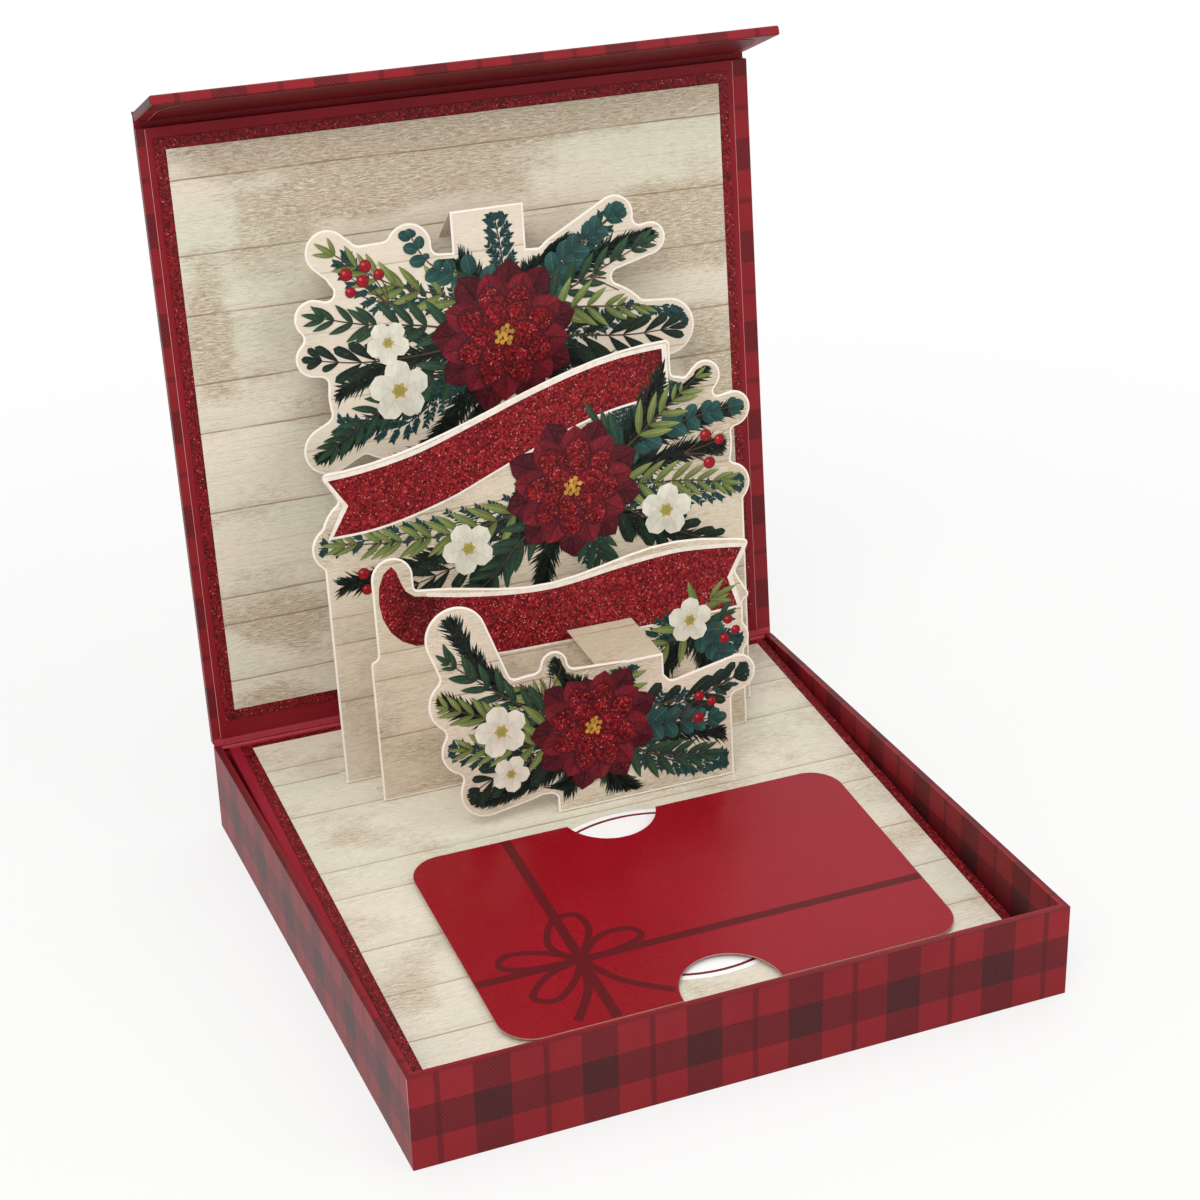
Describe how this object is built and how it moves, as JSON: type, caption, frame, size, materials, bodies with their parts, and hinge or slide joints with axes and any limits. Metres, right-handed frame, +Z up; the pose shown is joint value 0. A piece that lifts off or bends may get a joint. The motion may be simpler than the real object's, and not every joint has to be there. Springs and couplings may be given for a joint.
{
  "type": "gift card box",
  "caption": "Shallow square paper-covered box with a hinged lid and flap, a sloped platform with a gift card pocket, and flat paper layers that stand up as the lid opens.",
  "frame": {"origin": "centre of the tray's underside", "axes": "+X to the right, +Y to the hinge, +Z up out of the tray"},
  "size_m": [0.127, 0.1416, 0.1546],
  "materials": {
    "greyboard": "matt",
    "plaid_paper": "satin",
    "red_card": "satin",
    "glitter_card": "glittered",
    "wood_print_card": "matt",
    "white_card": "matt",
    "pocket_card": "gloss",
    "steel_disc": "plated",
    "magnet": "plated"
  },
  "bodies": {
    "tray": {"base_sheet": "red_card", "base_board": "greyboard", "front_board": "greyboard", "back_board": "greyboard", "left_board": "greyboard", "right_board": "greyboard", "tray_wrap": "plaid_paper", "tray_magnets": "steel_disc", "platform_top": "red_card", "platform_left_side": "red_card", "platform_right_side": "red_card", "platform_front_side": "red_card", "platform_glitter_card": "glitter_card", "platform_print_card": "wood_print_card", "hinge_strip": "red_card", "pocket_card": "pocket_card", "pocket_left_strip": "white_card", "pocket_right_strip": "white_card", "back_spray_foot": "wood_print_card", "upper_banner_foot": "wood_print_card", "lower_banner_foot": "wood_print_card", "front_spray_foot": "wood_print_card"},
    "lid": {"lid_board": "greyboard", "lid_wrap": "plaid_paper", "lid_lining": "red_card", "lid_glitter_card": "glitter_card", "lid_print_card": "wood_print_card", "back_strap_tab": "white_card", "flap_crease": "plaid_paper"},
    "flap": {"flap_board": "greyboard", "flap_wrap": "plaid_paper", "flap_lining": "red_card", "flap_magnets": "magnet"},
    "back_spray": {"back_spray": "wood_print_card"},
    "upper_banner": {"upper_banner": "wood_print_card"},
    "lower_banner": {"lower_banner": "wood_print_card"},
    "front_spray": {"front_spray": "wood_print_card"},
    "back_strap": {"back_strap": "white_card"},
    "upper_strap": {"upper_strap": "white_card"},
    "lower_strap": {"lower_strap": "white_card"},
    "front_strap": {"front_strap": "white_card"}
  },
  "joints": [
    {"name": "lid_hinge", "type": "hinge", "parent": "tray", "child": "lid", "pos_m": [0, 0.0635, 0.01892], "axis": [1, 0, 0], "range_deg": [0, 95.35]},
    {"name": "flap_hinge", "type": "hinge", "parent": "lid", "child": "flap", "pos_m": [0, 0.07785, 0.14733], "axis": [1, 0, 0], "range_deg": [-73.3, 16.95]},
    {"name": "back_spray_fold", "type": "hinge", "parent": "tray", "child": "back_spray", "pos_m": [0, 0.056, 0.01789], "axis": [1, 0, 0], "range_deg": [0, 95.35]},
    {"name": "upper_banner_fold", "type": "hinge", "parent": "tray", "child": "upper_banner", "pos_m": [0, 0.0409, 0.01648], "axis": [1, 0, 0], "range_deg": [0, 95.35]},
    {"name": "lower_banner_fold", "type": "hinge", "parent": "tray", "child": "lower_banner", "pos_m": [0, 0.0321, 0.01567], "axis": [1, 0, 0], "range_deg": [0, 95.35]},
    {"name": "front_spray_fold", "type": "hinge", "parent": "tray", "child": "front_spray", "pos_m": [0, 0.0156, 0.01482], "axis": [1, 0, 0], "range_deg": [0, 95.35]},
    {"name": "back_strap_fold", "type": "hinge", "parent": "back_spray", "child": "back_strap", "pos_m": [0, 0.06487, 0.12406], "axis": [1, 0, 0], "range_deg": [-45.67, 0]},
    {"name": "upper_strap_fold", "type": "hinge", "parent": "upper_banner", "child": "upper_strap", "pos_m": [0, 0.04475, 0.06032], "axis": [1, 0, 0], "range_deg": [-98.3, 0]},
    {"name": "lower_strap_fold", "type": "hinge", "parent": "lower_banner", "child": "lower_strap", "pos_m": [0, 0.03419, 0.03757], "axis": [1, 0, 0], "range_deg": [-100.4, 0]},
    {"name": "front_strap_fold", "type": "hinge", "parent": "front_spray", "child": "front_strap", "pos_m": [0, 0.01822, 0.0433], "axis": [1, 0, 0], "range_deg": [-97.96, 0]}
  ],
  "couplings": [
    {"joint": "back_spray_fold", "follows": "lid_hinge", "ratio": 1},
    {"joint": "upper_banner_fold", "follows": "lid_hinge", "ratio": 1},
    {"joint": "lower_banner_fold", "follows": "lid_hinge", "ratio": 1},
    {"joint": "front_spray_fold", "follows": "lid_hinge", "ratio": 1},
    {"joint": "back_strap_fold", "follows": "lid_hinge", "ratio": -0.4784},
    {"joint": "upper_strap_fold", "follows": "lid_hinge", "ratio": -1.0304},
    {"joint": "lower_strap_fold", "follows": "lid_hinge", "ratio": -1.0524},
    {"joint": "front_strap_fold", "follows": "lid_hinge", "ratio": -1.0269}
  ]
}
